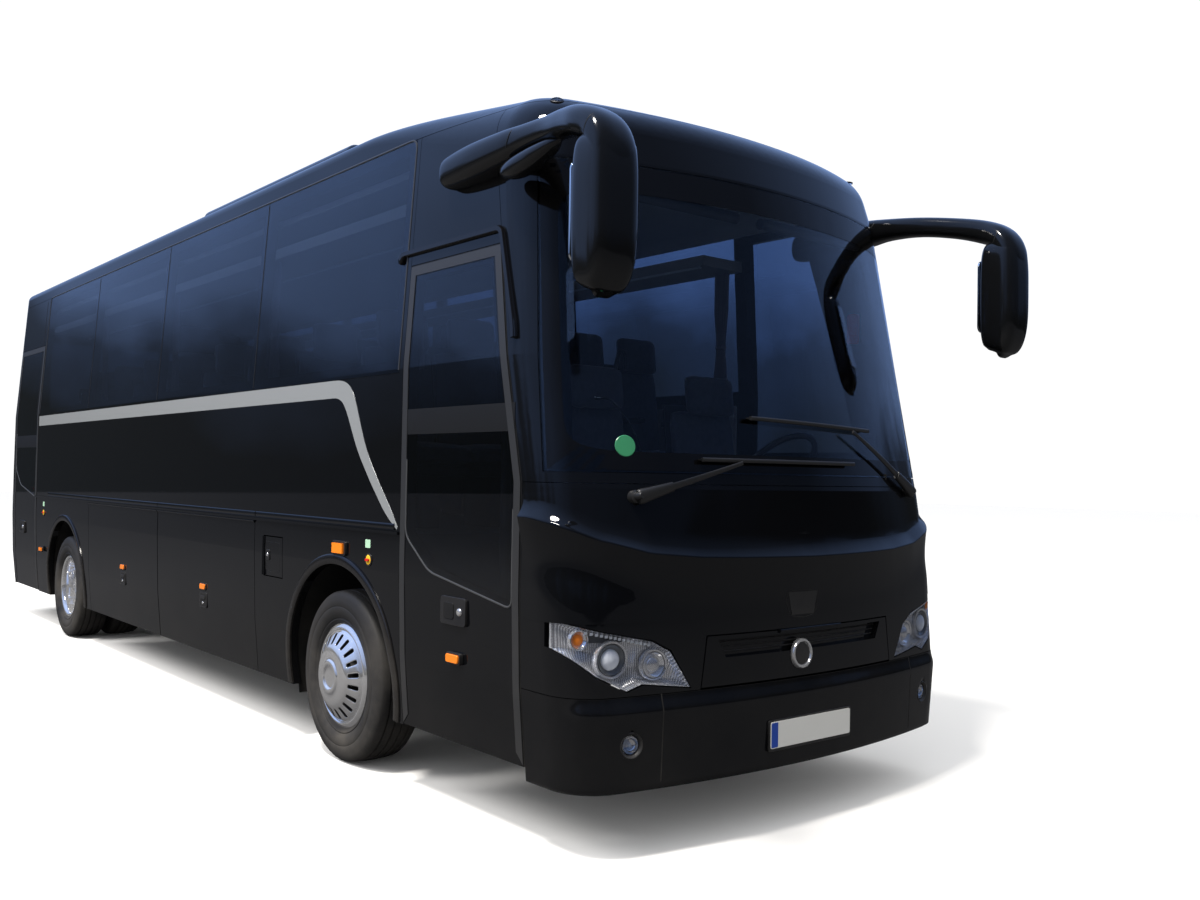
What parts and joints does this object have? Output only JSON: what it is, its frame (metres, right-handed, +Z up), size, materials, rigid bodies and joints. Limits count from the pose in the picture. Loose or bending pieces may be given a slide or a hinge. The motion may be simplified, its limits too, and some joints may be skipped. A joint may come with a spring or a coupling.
{
  "type": "midibus",
  "caption": "Touring midibus with outward plug doors on its right side, luggage flaps, roof air conditioner, twin rear tyres and mirrors on forward arms.",
  "frame": {"origin": "on the ground in the middle of the overall length and width", "axes": "+X forward, +Y to the vehicle's left, +Z up"},
  "size_m": [9.73, 2.8, 3.335],
  "materials": {
    "paint_black": "gloss",
    "glass_tinted": "gloss",
    "glass_clear": "gloss",
    "lamp_clear": "gloss",
    "lamp_colour": "gloss",
    "door_aluminium": "satin",
    "chassis_black": "matte",
    "engine_grey": "matte",
    "floor_grey": "matte",
    "housing_plastic": "matte",
    "spring_rubber": "matte",
    "tyre_rubber": "matte",
    "rim_chrome": "polished",
    "plate_white": "gloss",
    "seat_fabric": "woven",
    "curtain_fabric": "woven",
    "dash_plastic": "matte",
    "rack_plastic": "matte"
  },
  "bodies": {
    "root": {"side_wall_left": "paint_black", "side_wall_right": "paint_black", "side_glass_left": "glass_tinted", "side_glass_right": "glass_tinted", "skirt_left": "paint_black", "skirt_right": "paint_black", "front_mask": "paint_black", "windscreen": "glass_clear", "bumpers": "paint_black", "front_lamps": "lamp_clear", "rear_body": "paint_black", "rear_glass": "glass_tinted", "rear_and_side_lamps": "lamp_colour", "roof": "paint_black", "roof_unit": "paint_black", "floor": "floor_grey", "entry_steps": "floor_grey", "luggage_bay": "chassis_black", "wheel_housings": "housing_plastic", "frame_rails": "chassis_black", "frame_bars": "chassis_black", "engine": "engine_grey", "front_axle": "chassis_black", "rear_axle": "chassis_black", "air_springs": "spring_rubber", "mirrors": "paint_black", "wipers": "housing_plastic", "number_plates": "plate_white", "seats": "seat_fabric", "dashboard": "dash_plastic", "parcel_racks": "rack_plastic", "curtains": "curtain_fabric"},
    "knuckle_left": {"knuckle_left": "chassis_black"},
    "knuckle_right": {"knuckle_right": "chassis_black"},
    "wheel_front_left": {"tyre_front_left": "tyre_rubber", "rim_front_left": "rim_chrome"},
    "wheel_front_right": {"tyre_front_right": "tyre_rubber", "rim_front_right": "rim_chrome"},
    "wheel_rear_left": {"tyres_rear_left": "tyre_rubber", "rim_rear_left": "rim_chrome"},
    "wheel_rear_right": {"tyres_rear_right": "tyre_rubber", "rim_rear_right": "rim_chrome"},
    "front_door_arm": {"front_door_arm": "chassis_black"},
    "front_door": {"front_door_leaf": "door_aluminium", "front_door_glass": "glass_tinted"},
    "rear_door_arm": {"rear_door_arm": "chassis_black"},
    "rear_door": {"rear_door_leaf": "door_aluminium", "rear_door_glass": "glass_tinted"},
    "flap_left_1": {"flap_left_1": "paint_black"},
    "flap_left_2": {"flap_left_2": "paint_black"},
    "flap_right_1": {"flap_right_1": "paint_black"},
    "flap_right_2": {"flap_right_2": "paint_black"},
    "service_hatch": {"service_hatch": "paint_black"},
    "front_lid": {"front_lid": "paint_black"},
    "engine_lid": {"engine_lid": "paint_black"}
  },
  "joints": [
    {"name": "steer_left", "type": "hinge", "parent": "root", "child": "knuckle_left", "pos_m": [2.565, 0.88, 0.4335], "axis": [0, 0, 1], "range_deg": [-40, 40]},
    {"name": "steer_right", "type": "hinge", "parent": "root", "child": "knuckle_right", "pos_m": [2.565, -0.88, 0.4335], "axis": [0, 0, 1], "range_deg": [-40, 40]},
    {"name": "wheel_spin_front_left", "type": "hinge", "parent": "knuckle_left", "child": "wheel_front_left", "pos_m": [2.565, 1.04, 0.4335], "axis": [0, 1, 0], "continuous": true},
    {"name": "wheel_spin_rear_left", "type": "hinge", "parent": "root", "child": "wheel_rear_left", "pos_m": [-2.605, 1.04, 0.4335], "axis": [0, 1, 0], "continuous": true},
    {"name": "wheel_spin_front_right", "type": "hinge", "parent": "knuckle_right", "child": "wheel_front_right", "pos_m": [2.565, -1.04, 0.4335], "axis": [0, 1, 0], "continuous": true},
    {"name": "wheel_spin_rear_right", "type": "hinge", "parent": "root", "child": "wheel_rear_right", "pos_m": [-2.605, -1.04, 0.4335], "axis": [0, 1, 0], "continuous": true},
    {"name": "front_door_swing", "type": "hinge", "parent": "root", "child": "front_door_arm", "pos_m": [3.865, -1.06, 1], "axis": [0, 0, 1], "range_deg": [0, 149]},
    {"name": "front_door_leaf_turn", "type": "hinge", "parent": "front_door_arm", "child": "front_door", "pos_m": [3.5358, -1.03698, 1], "axis": [0, 0, 1], "range_deg": [-149, 0]},
    {"name": "rear_door_swing", "type": "hinge", "parent": "root", "child": "rear_door_arm", "pos_m": [-3.885, -1.06, 1], "axis": [0, 0, 1], "range_deg": [0, 149]},
    {"name": "rear_door_leaf_turn", "type": "hinge", "parent": "rear_door_arm", "child": "rear_door", "pos_m": [-4.2142, -1.03698, 1], "axis": [0, 0, 1], "range_deg": [-149, 0]},
    {"name": "flap_left_1_lift", "type": "hinge", "parent": "root", "child": "flap_left_1", "pos_m": [0.685, 1.205, 1.1747], "axis": [1, 0, 0], "range_deg": [0, 95]},
    {"name": "flap_left_2_lift", "type": "hinge", "parent": "root", "child": "flap_left_2", "pos_m": [-1.015, 1.205, 1.1747], "axis": [1, 0, 0], "range_deg": [0, 95]},
    {"name": "flap_right_1_lift", "type": "hinge", "parent": "root", "child": "flap_right_1", "pos_m": [0.685, -1.205, 1.1747], "axis": [-1, 0, 0], "range_deg": [0, 95]},
    {"name": "flap_right_2_lift", "type": "hinge", "parent": "root", "child": "flap_right_2", "pos_m": [-1.015, -1.205, 1.1747], "axis": [-1, 0, 0], "range_deg": [0, 95]},
    {"name": "service_hatch_turn", "type": "hinge", "parent": "root", "child": "service_hatch", "pos_m": [1.6653, -1.205, 0.985], "axis": [0, 0, -1], "range_deg": [0, 110]},
    {"name": "front_lid_lift", "type": "hinge", "parent": "root", "child": "front_lid", "pos_m": [4.64, 0, 0.8347], "axis": [0, -1, 0], "range_deg": [0, 80]},
    {"name": "engine_lid_lift", "type": "hinge", "parent": "root", "child": "engine_lid", "pos_m": [-4.86, 0, 1.6447], "axis": [0, 1, 0], "range_deg": [0, 75]}
  ],
  "couplings": [
    {"joint": "steer_right", "follows": "steer_left", "ratio": 1},
    {"joint": "front_door_leaf_turn", "follows": "front_door_swing", "ratio": -1},
    {"joint": "rear_door_leaf_turn", "follows": "rear_door_swing", "ratio": -1}
  ]
}
